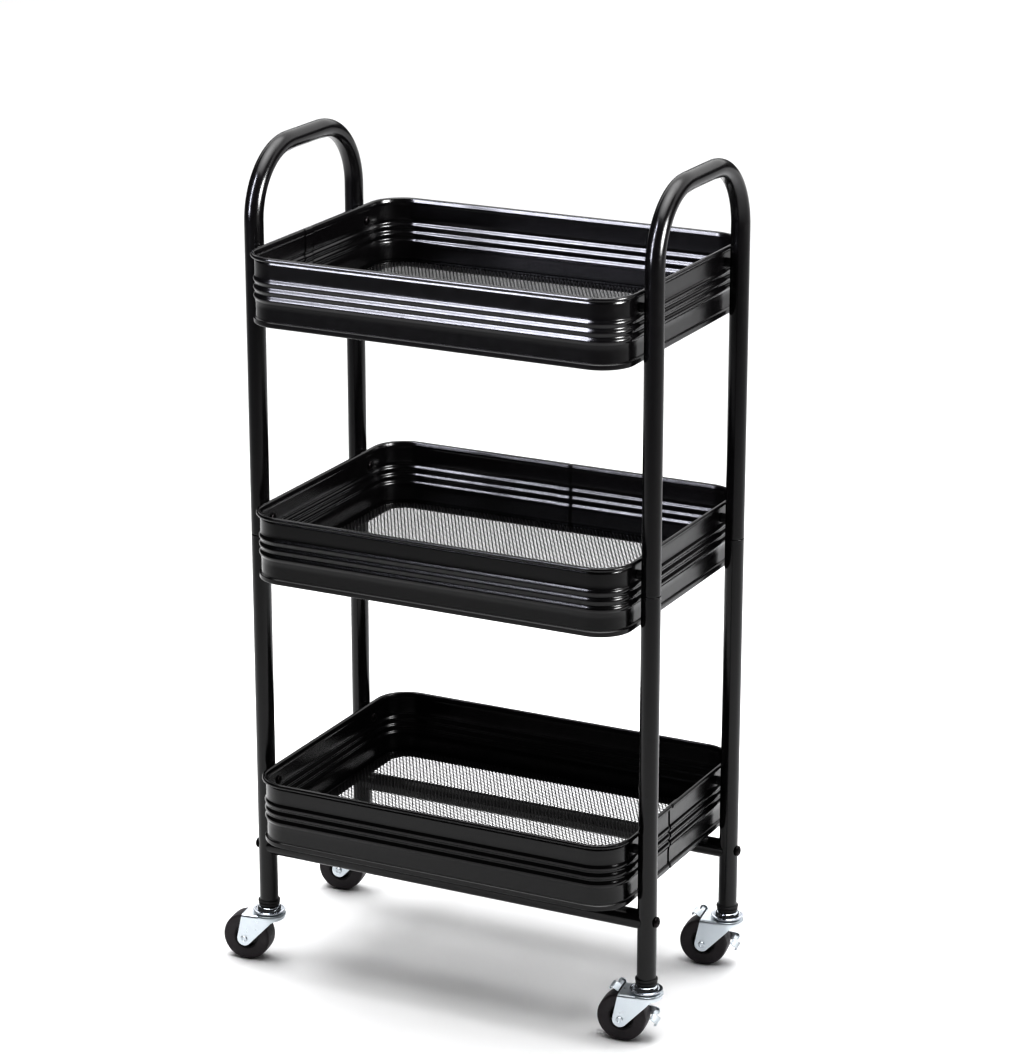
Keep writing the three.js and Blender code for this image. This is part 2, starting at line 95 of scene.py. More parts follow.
WHEEL_R = size_of("front_left_caster_tyre").z / 2
WHEEL_WIDTH = 21 * MM
TRAIL = 22.5 * MM
FORK_HALF = 16 * MM
FORK_SHEET = 1.8 * MM
FORK_FRONT = 24.6 * MM
FORK_TIP_R = 7.5 * MM
CROWN_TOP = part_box("front_left_caster_fork")[1].z
RACE_R = size_of("front_left_caster_stem").x / 2
SOCKET_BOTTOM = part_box("front_left_caster_socket")[0].z

# ---- Materials ----


def linear(hex_colour):
    """An sRGB hex value as linear RGBA."""
    channels = [int(hex_colour[i:i + 2], 16) / 255 for i in (1, 3, 5)]
    return [c / 12.92 if c <= 0.04045 else ((c + 0.055) / 1.055) ** 2.4 for c in channels] + [1.0]


def add(tree, kind, links=(), **settings):
    """Adds a node. A setting is an attribute or an input's value, and links are (input, source socket)."""
    made = tree.nodes.new(kind)
    for name, value in settings.items():
        if hasattr(made, name):
            setattr(made, name, value)
        else:
            made.inputs[name.replace("_", " ")].default_value = value
    for socket, source in links:
        tree.links.new(source, made.inputs[socket])
    return made


def surface(name, colour, roughness, metallic=0.0, ior=1.5):
    """A material with its shader, and the object's own coordinates for its patterns."""
    material = bpy.data.materials.new(name)
    material.use_nodes = True
    tree = material.node_tree
    shader = tree.nodes["Principled BSDF"]
    shader.inputs["Base Color"].default_value = linear(colour)
    shader.inputs["Roughness"].default_value = roughness
    shader.inputs["Metallic"].default_value = metallic
    shader.inputs["IOR"].default_value = ior
    coordinates = add(tree, "ShaderNodeTexCoord").outputs["Object"]
    return material, tree, shader, coordinates


def per_mm(size_mm):
    """A noise scale, in cycles per metre, whose blotches are about this many millimetres across."""
    return 1000 / size_mm


def vary_roughness(tree, shader, coordinates, size_mm, low, high):
    """Roughness that drifts between low and high over blotches of this size."""
    noise = add(tree, "ShaderNodeTexNoise", [("Vector", coordinates)], Scale=per_mm(size_mm), Detail=4.0)
    spread = add(tree, "ShaderNodeMapRange", [("Value", noise.outputs["Fac"])],
                 From_Min=0.3, From_Max=0.7, To_Min=low, To_Max=high)
    tree.links.new(spread.outputs["Result"], shader.inputs["Roughness"])


def vary_colour(tree, shader, coordinates, size_mm, dark, light):
    """Base colour that drifts between two close shades."""
    noise = add(tree, "ShaderNodeTexNoise", [("Vector", coordinates)], Scale=per_mm(size_mm), Detail=5.0)
    mix = add(tree, "ShaderNodeMix", [("Factor", noise.outputs["Fac"])], data_type="RGBA")
    mix.inputs[6].default_value = linear(dark)
    mix.inputs[7].default_value = linear(light)
    tree.links.new(mix.outputs[2], shader.inputs["Base Color"])


def bump(tree, shader, height, strength, depth_mm):
    """Fine relief, this many millimetres deep at full strength."""
    relief = add(tree, "ShaderNodeBump", [("Height", height)], Strength=strength, Distance=depth_mm * MM)
    tree.links.new(relief.outputs["Normal"], shader.inputs["Normal"])


def powder_coat():
    """Polyester powder coat, baked on: a deep black satin with the faint orange peel of melted powder."""
    material, tree, shader, coords = surface("satin_black_powder_coat", "#0a090a", 0.21, ior=1.47)
    vary_colour(tree, shader, coords, 18, "#090809", "#0d0c0d")
    vary_roughness(tree, shader, coords, 9, 0.18, 0.24)
    peel = add(tree, "ShaderNodeTexNoise", [("Vector", coords)],
               Scale=per_mm(1.6), Detail=2.0, Roughness=0.4)
    bump(tree, shader, peel.outputs["Fac"], 0.16, 0.06)
    return material


def mesh_coat():
    """The same powder coat on cut mesh: thicker at the knots, so a little rougher and greyer."""
    material, tree, shader, coords = surface("powder_coated_expanded_steel", "#111011", 0.42, ior=1.47)
    vary_roughness(tree, shader, coords, 2.5, 0.36, 0.5)
    grit = add(tree, "ShaderNodeTexNoise", [("Vector", coords)], Scale=per_mm(0.7), Detail=2.0)
    bump(tree, shader, grit.outputs["Fac"], 0.25, 0.08)
    return material


def black_oxide():
    """Black-oxide steel screws: oily dark metal with a soft, slightly brown gleam."""
    material, tree, shader, coords = surface("black_oxide_steel", "#2a2829", 0.34, metallic=1.0)
    vary_colour(tree, shader, coords, 1.5, "#232122", "#343132")
    vary_roughness(tree, shader, coords, 0.8, 0.28, 0.42)
    return material


def socket_plastic():
    """Injection-moulded polypropylene: matt black with a fine spark-eroded grain."""
    material, tree, shader, coords = surface("moulded_polypropylene", "#131213", 0.5)
    vary_roughness(tree, shader, coords, 2, 0.42, 0.56)
    grain = add(tree, "ShaderNodeTexNoise", [("Vector", coords)], Scale=per_mm(0.4), Detail=2.0)
    bump(tree, shader, grain.outputs["Fac"], 0.2, 0.05)
    return material


def bright_plating():
    """Polished steel under bright zinc: mirror-like, with soft waves left by the press."""
    material, tree, shader, coords = surface("bright_plated_steel", "#bfc3c9", 0.12, metallic=1.0)
    vary_colour(tree, shader, coords, 6, "#b5bac2", "#caced3")
    vary_roughness(tree, shader, coords, 4, 0.09, 0.18)
    waves = add(tree, "ShaderNodeTexNoise", [("Vector", coords)], Scale=per_mm(5), Detail=1.0)
    bump(tree, shader, waves.outputs["Fac"], 0.1, 0.1)
    return material


def clear_zinc():
    """Stamped steel with clear blue zinc plating: cool, cloudy and satin, with fine rolling lines."""
    material, tree, shader, coords = surface("clear_zinc_plated_steel", "#cdd4d9", 0.3, metallic=1.0)
    vary_colour(tree, shader, coords, 9, "#cbd2d8", "#d3d9dd")
    vary_roughness(tree, shader, coords, 6, 0.27, 0.34)
    lines = add(tree, "ShaderNodeMapping", [("Vector", coords)], Scale=(1, 1, 5))
    rolling = add(tree, "ShaderNodeTexNoise", [("Vector", lines.outputs["Vector"])],
                  Scale=per_mm(5), Detail=1.0)
    bump(tree, shader, rolling.outputs["Fac"], 0.03, 0.03)
    return material


def hub_plastic():
    """Moulded nylon hub: dark and slightly glossy, with faint flow marks."""
    material, tree, shader, coords = surface("moulded_nylon", "#0f0e0f", 0.42)
    vary_roughness(tree, shader, coords, 3, 0.35, 0.5)
    flow = add(tree, "ShaderNodeTexNoise", [("Vector", coords)], Scale=per_mm(1.2), Detail=2.0)
    bump(tree, shader, flow.outputs["Fac"], 0.15, 0.05)
    return material


def wheel_rubber():
    """Hard moulded rubber: warm black, satin, dusted a little greyer where it rolls."""
    material, tree, shader, coords = surface("hard_moulded_rubber", "#2c272a", 0.5)
    vary_colour(tree, shader, coords, 5, "#272225", "#332d31")
    vary_roughness(tree, shader, coords, 3, 0.42, 0.6)
    scuff = add(tree, "ShaderNodeTexNoise", [("Vector", coords)], Scale=per_mm(0.9), Detail=4.0)
    bump(tree, shader, scuff.outputs["Fac"], 0.2, 0.06)
    return material


def studio_floor_paint():
    """Matt white studio floor: near-white with a trace of unevenness."""
    material, tree, shader, coords = surface("matt_white_floor_paint", "#f4f4f4", 0.8)
    vary_colour(tree, shader, coords, 400, "#f1f1f2", "#f6f6f6")
    return material


POWDER = powder_coat()
MESH_COAT = mesh_coat()
BLACK_OXIDE = black_oxide()
SOCKET_PLASTIC = socket_plastic()
BRIGHT_PLATING = bright_plating()
CLEAR_ZINC = clear_zinc()
HUB_PLASTIC = hub_plastic()
WHEEL_RUBBER = wheel_rubber()

# ---- Mesh builders ----


def finished(name, mesh_data, material, sharp_degrees=35):
    """Shades a mesh smooth with crisp edges, and makes its object."""
    mesh_data.materials.append(material)
    mesh_data.shade_smooth()
    mesh_data.set_sharp_from_angle(angle=math.radians(sharp_degrees))
    piece = bpy.data.objects.new(name, mesh_data)
    bpy.context.scene.collection.objects.link(piece)
    return piece


def from_bmesh(name, solid):
    """Turns a bmesh, which is used up, into mesh data whose faces all look outwards."""
    bmesh.ops.recalc_face_normals(solid, faces=solid.faces)
    mesh_data = bpy.data.meshes.new(name)
    solid.to_mesh(mesh_data)
    solid.free()
    return mesh_data


def loft(rings, closed_along=False, caps=True):
    """A closed skin through rings of points, each ring itself closed."""
    solid = bmesh.new()
    loops = [[solid.verts.new(point) for point in ring] for ring in rings]
    count = len(loops[0])
    pairs = list(zip(loops, loops[1:]))
    if closed_along:
        pairs.append((loops[-1], loops[0]))
    for near, far in pairs:
        for i in range(count):
            j = (i + 1) % count
            solid.faces.new((near[i], far[i], far[j], near[j]))
    if caps and not closed_along:
        solid.faces.new(loops[0])
        solid.faces.new(reversed(loops[-1]))
    return solid


def turned(profile, steps=48):
    """A solid of revolution about Z from a closed profile of (radius, height), as a bmesh."""
    rings = []
    for i in range(steps):
        angle = TAU * i / steps
        rings.append([(r * math.cos(angle), r * math.sin(angle), z) for r, z in profile])
    solid = loft(rings, closed_along=True)
    bmesh.ops.remove_doubles(solid, verts=solid.verts, dist=1e-6)
    return solid


def arc(centre, radius, start, end, steps):
    """Points on a circular arc, angles in degrees."""
    points = []
    for i in range(steps + 1):
        angle = math.radians(start + (end - start) * i / steps)
        points.append((centre[0] + radius * math.cos(angle), centre[1] + radius * math.sin(angle)))
    return points


def rounded(points, radius, steps=3):
    """A closed outline with every corner cut by a small round of up to this radius."""
    outline = []
    count = len(points)
    for i in range(count):
        here = Vector(points[i])
        before = Vector(points[i - 1]) - here
        after = Vector(points[(i + 1) % count]) - here
        reach = min(radius, before.length * 0.45, after.length * 0.45)
        start = here + before.normalized() * reach
        end = here + after.normalized() * reach
        for k in range(steps + 1):
            t = k / steps
            outline.append(tuple((1 - t) ** 2 * start + 2 * t * (1 - t) * here + t * t * end))
    return outline


def prism(outline, low, high, plane):
    """An outline extruded along the axis its plane leaves out: 'yz' along X, 'xz' along Y, 'xy' along Z."""
    def at(point, depth):
        a, b = point
        return {"yz": (depth, a, b), "xz": (a, depth, b), "xy": (a, b, depth)}[plane]
    return loft([[at(point, low) for point in outline], [at(point, high) for point in outline]])


def combine(base, other, operation):
    """A boolean of two bmeshes, which are used up."""
    objects = []
    for solid in (base, other):
        data = from_bmesh("boolean_part", solid)
        made = bpy.data.objects.new("boolean_part", data)
        bpy.context.scene.collection.objects.link(made)
        objects.append(made)
    modifier = objects[0].modifiers.new("combine", "BOOLEAN")
    modifier.operation = operation
    modifier.solver = "EXACT"
    modifier.object = objects[1]
    evaluated = objects[0].evaluated_get(bpy.context.evaluated_depsgraph_get())
    result = bmesh.new()
    result.from_mesh(evaluated.to_mesh())
    for made in objects:
        data = made.data
        bpy.data.objects.remove(made)
        bpy.data.meshes.remove(data)
    bmesh.ops.remove_doubles(result, verts=result.verts, dist=1e-7)
    return result


def merge(*solids):
    """Several bmeshes gathered into the first."""
    whole = solids[0]
    for solid in solids[1:]:
        data = bpy.data.meshes.new("merge_part")
        solid.to_mesh(data)
        solid.free()
        whole.from_mesh(data)
        bpy.data.meshes.remove(data)
    return whole


def moved(solid, matrix):
    """The same bmesh, moved by a matrix."""
    bmesh.ops.transform(solid, matrix=matrix, verts=solid.verts)
    return solid


def soften(piece, width_mm):
    """Rounds a piece's sharp edges by a small bevel."""
    modifier = piece.modifiers.new("edge_round", "BEVEL")
    modifier.width = width_mm * MM
    modifier.segments = 2
    modifier.limit_method = "ANGLE"
    modifier.angle_limit = math.radians(40)
    modifier.harden_normals = True


def place(piece, body, slot, *nodes):
    """Gives a piece its body and hides the CAD nodes it stands in for. The slot is not used."""
    flats = piece.modifiers.new("flat_faces_stay_flat", "WEIGHTED_NORMAL")
    flats.keep_sharp = True
    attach(piece, body)
    if nodes:
        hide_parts(*nodes)
    return piece


# ---- Side frames ----

TUBE_STEPS = 40
BEND_STEPS = 20
BEND_SQUASH = 1.1 * MM    # how far a bend flattens the tube's inner side
BEND_WRINKLE = 0.8 * MM   # how far it swells again just before the bend ends
TOP_SQUASH = 0.35 * MM
SPIGOT_LENGTH = 22 * MM
JOINT_GAP = 0.35 * MM


def smoothstep(t):
    """Eases from 0 to 1 as t does."""
    t = min(1.0, max(0.0, t))
    return t * t * (3 - 2 * t)


def tube_ring(centre, across, up, radius, squash=0.0, wrinkle=0.0):
    """One ring of a tube. across and up span its section; up points out of the bend.
    squash flattens the side inside the bend and wrinkle swells it."""
    ring = []
    for i in range(TUBE_STEPS):
        angle = TAU * i / TUBE_STEPS
        inside = max(0.0, -math.sin(angle)) ** 2
        reach = radius - squash * inside + wrinkle * inside ** 2
        ring.append(centre + across * (reach * math.cos(angle)) + up * (reach * math.sin(angle)))
    return ring


def handle_frame(side):
    """The upper bent tube: up the front leg line, over the top and down the back, with swaged ends."""
    x = LEGS[f"front_{side}"].x
    across = Vector((1, 0, 0))
    top = HANDLE_TOP - TUBE_R
    straight = LEG_Y - HANDLE_BEND_R
    start = LEG_JOINT + JOINT_GAP
    spigot_r = TUBE_R - TUBE_WALL
    spigot = [(-SPIGOT_LENGTH, spigot_r - 0.8 * MM), (2 * MM - SPIGOT_LENGTH, spigot_r)]
    spigot += [(0.3 * MM, spigot_r)]
    lip = [(0.35 * MM, TUBE_R - 0.55 * MM), (0.5 * MM, TUBE_R - 0.225 * MM), (1.0 * MM, TUBE_R)]
    rings = []
    for rise, radius in spigot + lip:
        rings.append(tube_ring(Vector((x, -LEG_Y, start + rise)), across, Vector((0, -1, 0)), radius))
    bend_z = top - HANDLE_BEND_R
    for i in range(1, 9):
        z = start + (bend_z - start) * i / 9
        rings.append(tube_ring(Vector((x, -LEG_Y, z)), across, Vector((0, -1, 0)), TUBE_R))
    for i in range(BEND_STEPS + 1):
        part = i / BEND_STEPS
        angle = math.pi / 2 * part
        out = Vector((0, -math.cos(angle), math.sin(angle)))
        centre = Vector((x, -straight, bend_z)) + out * HANDLE_BEND_R
        squash = BEND_SQUASH * math.sin(math.pi * part) ** 0.7
        wrinkle = BEND_WRINKLE * math.exp(-((part - 0.93) / 0.05) ** 2)
        rings.append(tube_ring(centre, across, out, TUBE_R, squash, wrinkle))
    for i in range(1, 7):
        y = -straight + 2 * straight * i / 12
        rings.append(tube_ring(Vector((x, y, top)), across, Vector((0, 0, 1)), TUBE_R, TOP_SQUASH))
    mirrored = []
    for ring in reversed(rings[:-1]):
        mirrored.append([Vector((point.x, -point.y, point.z)) for point in ring])
    solid = loft(rings + mirrored)
    piece = finished(f"bent_handle_tube_{side}", from_bmesh(f"bent_handle_tube_{side}", solid), POWDER)
    return place(piece, "root", "frame_powder_coat", f"handle_frame_{side}")


def leg_tube(corner):
    """A straight lower leg, its top edge rolled in round the handle tube's spigot."""
    centre = LEGS[corner]
    r = TUBE_R
    bore = r - TUBE_WALL
    roll = 0.6 * MM
    profile = [(bore, LEG_BOTTOM), (r - 0.3 * MM, LEG_BOTTOM), (r, LEG_BOTTOM + 0.3 * MM)]
    profile += [(r, LEG_BOTTOM + (LEG_JOINT - LEG_BOTTOM) * i / 12) for i in range(1, 12)]
    profile += arc((r - roll, LEG_JOINT - roll), roll, 0, 90, 4)
    profile += [(bore, LEG_JOINT)]
    solid = moved(turned(profile, TUBE_STEPS), Matrix.Translation((centre.x, centre.y, 0)))
    piece = finished(f"leg_tube_{corner}", from_bmesh(f"leg_tube_{corner}", solid), POWDER)
    return place(piece, "root", "frame_powder_coat", f"leg_{corner}")


def cross_bar(end, y):
    """A round bar whose ends are coped to fit round the legs."""
    rings = []
    cope_r = TUBE_R + 0.3 * MM
    for side in (-1, 1):
        ring = []
        for i in range(TUBE_STEPS):
            angle = TAU * i / TUBE_STEPS
            dy = TUBE_R * math.cos(angle)
            dz = TUBE_R * math.sin(angle)
            reach = LEG_REACH - math.sqrt(cope_r ** 2 - dy ** 2)
            ring.append(Vector((CART_X + side * reach, y + dy, BAR_Z + dz)))
        rings.append(ring)
    left, right = rings
    between = [[a.lerp(b, step / 10) for a, b in zip(left, right)] for step in range(11)]
    solid = loft(between)
    piece = finished(f"coped_cross_bar_{end}", from_bmesh(f"coped_cross_bar_{end}", solid), POWDER)
    return place(piece, "root", "frame_powder_coat", f"cross_bar_{end}")


# ---- Screws and spacers ----


def cross_recess(size, depth):
    """The cutter for a cross-head recess, pointing down from z = 0, narrower at its foot."""
    blades = []
    for turn in (0, math.pi / 2):
        half, thick = size / 2, size * 0.16
        corners = [(-half, -thick), (half, -thick), (half, thick), (-half, thick)]
        top = [(x, y, 1 * MM) for x, y in corners]
        foot = [(x * 0.45, y * 0.7, -depth) for x, y in corners]
        blades.append(moved(loft([top, foot]), Matrix.Rotation(turn, 4, "Z")))
    return combine(blades[0], blades[1], "UNION")


def screw_head(radius, height, shank_r, shank_length, dome):
    """A screw along Z with its head's top at z = height, its underside at 0 and a cross recess."""
    edge = height * (1 - dome)
    profile = [(0, height)]
    for i in range(1, 8):
        turn = math.pi / 2 * i / 8
        profile.append((radius * math.sin(turn), edge + (height - edge) * math.cos(turn)))
    profile += [(radius, edge * 0.9), (radius, 0.25 * MM), (radius - 0.25 * MM, 0), (shank_r, 0)]
    profile += [(shank_r, -shank_length), (0, -shank_length)]
    recess = moved(cross_recess(radius * 1.15, height * 0.75), Matrix.Translation((0, 0, height * 0.95)))
    return combine(turned(profile, 32), recess, "DIFFERENCE")


def along_x(direction, position):
    """Turns something built up Z to point along +X or -X, at a place."""
    return Matrix.Translation(position) @ Matrix.Rotation(direction * math.pi / 2, 4, "Y")


def side_of(corner):
    """1 on the right of the cart, -1 on the left."""
    return 1 if corner.endswith("right") else -1


def bar_screw(corner):
    """The round-headed screw driven through a leg into the cross bar's end."""
    side = side_of(corner)
    face = LEGS[corner].x + side * (TUBE_R + 0.1 * MM)
    solid = screw_head(radius=5.4 * MM, height=3.3 * MM, shank_r=2.8 * MM, shank_length=20 * MM, dome=0.75)
    solid = moved(solid, along_x(side, (face, LEGS[corner].y, BAR_Z)))
    piece = finished(f"bar_bolt_{corner}", from_bmesh(f"bar_bolt_{corner}", solid), BLACK_OXIDE, 30)
    return place(piece, "root", "black_screw", f"cross_bar_screw_{corner}")


def tray_screw(tray, corner):
    """A pan-head screw with its head inside the tray."""
    side = side_of(corner)
    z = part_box(f"{tray}_tray_wall")[1].z - TRAY_SCREW_DROP
    inner = TRAY_SIZE.x / 2 + WALL_LINE - SHEET / 2 - 0.05 * MM
    solid = screw_head(radius=4.4 * MM, height=2.3 * MM, shank_r=2.1 * MM, shank_length=9 * MM, dome=0.6)
    solid = moved(solid, along_x(-side, (CART_X + side * inner, LEGS[corner].y, z)))
    name = f"{tray}_tray_bolt_{corner}"
    piece = finished(name, from_bmesh(name, solid), BLACK_OXIDE, 30)
    return place(piece, "root", "black_screw", f"{tray}_tray_screw_{corner}")


def tray_spacer(tray, corner):
    """The moulded ring that holds a leg off the tray's wall, hollowed to sit on the round tube."""
    side = side_of(corner)
    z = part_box(f"{tray}_tray_wall")[1].z - TRAY_SCREW_DROP
    wall = TRAY_SIZE.x / 2 + WALL_LINE + SHEET / 2 + 0.05 * MM
    length = LEG_REACH - TUBE_R - wall + 1.2 * MM
    outer, bore = 4.6 * MM, 2.6 * MM
    profile = rounded([(bore, 0), (outer, 0), (outer - 0.5 * MM, length), (bore, length)], 0.5 * MM)
    solid = moved(turned(profile, 36), along_x(side, (CART_X + side * wall, LEGS[corner].y, z)))
    tube, reach = TUBE_R + 0.1 * MM, 20 * MM
    hollow = moved(turned([(0, -reach), (tube, -reach), (tube, reach), (0, reach)]),
                   Matrix.Translation((LEGS[corner].x, LEGS[corner].y, z)))
    name = f"{tray}_tray_spacer_{corner}"
    piece = finished(name, from_bmesh(name, combine(solid, hollow, "DIFFERENCE")), SOCKET_PLASTIC)
    return place(piece, "root", "socket_plastic")


# ---- Trays ----

RIB_DROPS = [25.3 * MM, 33.7 * MM, 42.1 * MM]
RIB_PROUD = 1.6 * MM
RIB_HALF = 4.2 * MM
SHOULDER_DROP = 5.4 * MM  # a small step outwards just under the rim
SHOULDER = 0.5 * MM
LAP = 13 * MM
LAP_STEP = SHEET + 0.15 * MM
JOGGLE = 5 * MM
FOOT_DROP = 63.2 * MM
FOOT_PROUD = 1.7 * MM
FLANGE = 12 * MM
CORNER_STEPS = 18
# Where each wall strip starts and its seam shows: distance round the rim from the middle of the right wall
SEAM_PLACES = {"bottom": -17.6 * MM, "middle": 330 * MM, "top": 688 * MM}


def wall_line():
    """The middle of the sheet from the rolled rim's inner edge down to the flange, as (offset, height)."""
    roll = RIM_ROLL_R - SHEET / 2
    centre = (WALL_LINE + roll, -RIM_ROLL_R)
    points = arc(centre, roll, -150, 180, 22)
    height = TRAY_SIZE.z
    drop = RIM_ROLL_R + 1.5 * MM
    while drop < FOOT_DROP - 1.2 * MM:
        offset = WALL_LINE - 0.5 * MM * smoothstep((drop - 46 * MM) / (4 * MM))
        offset -= SHOULDER * (1 - smoothstep((drop - SHOULDER_DROP) / (1.6 * MM)))
        for rib in RIB_DROPS:
            if abs(drop - rib) < RIB_HALF:
                offset += RIB_PROUD * math.cos(math.pi / 2 * (drop - rib) / RIB_HALF) ** 2
        points.append((offset, -drop))
        near_rib = min(abs(drop - rib) for rib in RIB_DROPS) < RIB_HALF + 0.5 * MM
        drop += 0.55 * MM if near_rib or drop < 2 * SHOULDER_DROP else 2.2 * MM
    foot = WALL_LINE + FOOT_PROUD
    bottom = -height + SHEET / 2
    points += [(WALL_LINE - 0.5 * MM, -FOOT_DROP + 0.6 * MM), (WALL_LINE - 0.3 * MM, -FOOT_DROP + 0.1 * MM)]
    points += [(foot - 0.6 * MM, -FOOT_DROP - 0.5 * MM), (foot, -FOOT_DROP - 1.1 * MM)]
    points += [(foot, -FOOT_DROP - 2.4 * MM)]
    points += arc((foot - 1.2 * MM, bottom + 1.2 * MM), 1.2 * MM, 0, -90, 5)
    points += [(WALL_LINE - FLANGE * 0.5, bottom), (WALL_LINE - FLANGE, bottom)]
    return points


def sheet_section(line, thickness):
    """The closed section of sheet metal whose middle follows a line."""
    outer, inner = [], []
    for i, point in enumerate(line):
        before = Vector(line[max(i - 1, 0)])
        after = Vector(line[min(i + 1, len(line) - 1)])
        along = (after - before).normalized()
        normal = Vector((-along.y, along.x)) * thickness / 2
        outer.append(Vector(point) + normal)
        inner.append(Vector(point) - normal)
    return outer + inner[::-1]


def rim_runs():
    """The rim's long and short straights, the length of one corner's bend, and the distance all round."""
    r = TRAY_CORNER_R
    long_run, short_run, bend = TRAY_SIZE.x - 2 * r, TRAY_SIZE.y - 2 * r, math.pi / 2 * r
    return long_run, short_run, bend, 2 * (long_run + short_run) + 4 * bend


def outline_place(distance):
    """The point on the rim's outer edge this far round, and the outward direction there."""
    half_x, half_y = TRAY_SIZE.x / 2, TRAY_SIZE.y / 2
    r = TRAY_CORNER_R
    long_run, short_run, bend, perimeter = rim_runs()
    sides = [(short_run, (half_x, r - half_y), 0), (long_run, (half_x - r, half_y), 90),
             (short_run, (-half_x, half_y - r), 180), (long_run, (r - half_x, -half_y), 270)]
    d = (distance + short_run / 2) % perimeter
    for run, start, facing in sides:
        out = Vector((math.cos(math.radians(facing)), math.sin(math.radians(facing))))
        along = Vector((-out.y, out.x))
        if d < run:
            return Vector(start) + along * d, out
        d -= run
        if d < bend:
            turn = d / r
            centre = Vector(start) + along * run - out * r
            direction = out * math.cos(turn) + along * math.sin(turn)
            return centre + direction * r, direction
        d -= bend
    return Vector(sides[0][1]), Vector((1, 0))


def outline_stops(start, end):
    """Distances to put sections at: close together round the corners and at the lap, wide between."""
    long_run, short_run, bend, perimeter = rim_runs()
    stops = {start, end} | {end - LAP - JOGGLE * k / 5 for k in range(6)}
    edge = short_run / 2 - 2 * perimeter
    runs = [long_run, short_run] * 8
    for run in runs:
        stops |= {edge + bend * k / CORNER_STEPS for k in range(CORNER_STEPS + 1)}
        edge += bend
        stops |= {edge + run * k / 8 for k in range(9)}
        edge += run
    ordered = sorted(stop for stop in stops if start <= stop <= end)
    kept = [ordered[0]]
    for stop in ordered[1:]:
        if stop - kept[-1] > 0.05 * MM:
            kept.append(stop)
    return kept


def tray_wall(tray):
    """One strip of pressed sheet bent round into the tray's wall, its end stepped in behind its start."""
    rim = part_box(f"{tray}_tray_wall")[1].z
    section = sheet_section(wall_line(), SHEET)
    start = SEAM_PLACES[tray]
    perimeter = rim_runs()[3]
    end = start + perimeter + LAP
    rings = []
    for stop in outline_stops(start, end):
        point, out = outline_place(stop)
        lapped = -LAP_STEP * smoothstep((stop - end + LAP + JOGGLE) / JOGGLE)
        ring = []
        for offset, height in section:
            place_at = point + out * (offset + lapped)
            ring.append((CART_X + place_at.x, place_at.y, rim + height))
        rings.append(ring)
    piece = finished(f"{tray}_pressed_wall", from_bmesh(f"{tray}_pressed_wall", loft(rings)), POWDER, 40)
    return place(piece, "root", "tray_powder_coat", f"{tray}_tray_wall")


MESH_WIDE = 4.0 * MM   # diamond's short way, along the tray
MESH_LONG = 7.0 * MM   # diamond's long way, across the tray
MESH_STRAND = 0.95 * MM
MESH_THICK = 0.7 * MM


def inside_floor(x, y, reach):
    """True where a point lies inside the rounded floor outline."""
    half_x, half_y, r = TRAY_SIZE.x / 2 + reach, TRAY_SIZE.y / 2 + reach, TRAY_CORNER_R + reach
    dx, dy = abs(x) - (half_x - r), abs(y) - (half_y - r)
    if dx <= 0 or dy <= 0:
        return abs(x) <= half_x and abs(y) <= half_y
    return math.hypot(dx, dy) <= r


def expanded_mesh(tray):
    """Expanded steel: diamonds between slanting strands, each strand tipped a little by the stretching."""
    low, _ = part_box(f"{tray}_tray_mesh")
    reach = WALL_LINE - SHEET
    top, tip = low.z + MESH_THICK, 0.22 * MM
    half_a, half_b = MESH_WIDE / 2, MESH_LONG / 2
    angle = math.atan2(half_a, half_b)
    cut_a = half_a - MESH_STRAND / 2 / math.cos(angle)
    cut_b = half_b - MESH_STRAND / 2 / math.sin(angle)
    columns = int(TRAY_SIZE.x / half_a) + 2
    rows = int(TRAY_SIZE.y / half_b) + 2
    vertices, faces, seen = [], [], {}

    def vertex(x, y, z):
        key = (round(x * 1e6), round(y * 1e6), round(z * 1e6))
        if key not in seen:
            seen[key] = len(vertices)
            vertices.append((CART_X + x, y, z))
        return seen[key]

    cells = [(column, row) for column in range(-columns // 2, columns // 2 + 1)
             for row in range(-rows // 2, rows // 2 + 1)
             if (column + row) % 2 == 0 and inside_floor(column * half_a, row * half_b, reach - 1.2 * MM)]
    filled = set(cells)
    for column, row in cells:
        x, y = column * half_a, row * half_b
        ring = [(half_a, 0), (0, half_b), (-half_a, 0), (0, -half_b)]
        hole = [(cut_a, 0), (0, cut_b), (-cut_a, 0), (0, -cut_b)]
        lift = [0, tip, 0, -tip]
        upper = [vertex(x + a, y + b, top) for a, b in ring]
        lower = [vertex(x + a, y + b, top - MESH_THICK) for a, b in ring]
        upper_hole = [vertex(x + a, y + b, top + z) for (a, b), z in zip(hole, lift)]
        lower_hole = [vertex(x + a, y + b, top - MESH_THICK + z) for (a, b), z in zip(hole, lift)]
        for i, (right, back) in enumerate([(1, 1), (-1, 1), (-1, -1), (1, -1)]):
            j = (i + 1) % 4
            faces.append((upper[i], upper[j], upper_hole[j], upper_hole[i]))
            faces.append((lower[j], lower[i], lower_hole[i], lower_hole[j]))
            faces.append((upper_hole[i], upper_hole[j], lower_hole[j], lower_hole[i]))
            if (column + right, row + back) not in filled:
                faces.append((upper[i], lower[i], lower[j], upper[j]))
    mesh_data = bpy.data.meshes.new(f"{tray}_expanded_mesh")
    mesh_data.from_pydata(vertices, [], faces)
    piece = finished(f"{tray}_expanded_mesh", mesh_data, MESH_COAT, 30)
    return place(piece, "root", "mesh_powder_coat", f"{tray}_tray_mesh")


# ---- Casters: built about the swivel at x = y = 0, trailing along +X, axle along Y ----

PLUG_LENGTH = 24 * MM
STEM_R = 3.6 * MM
BALL_COUNT = 10
BALL_CIRCLE = 10.5 * MM
BALL_R = 1.3 * MM


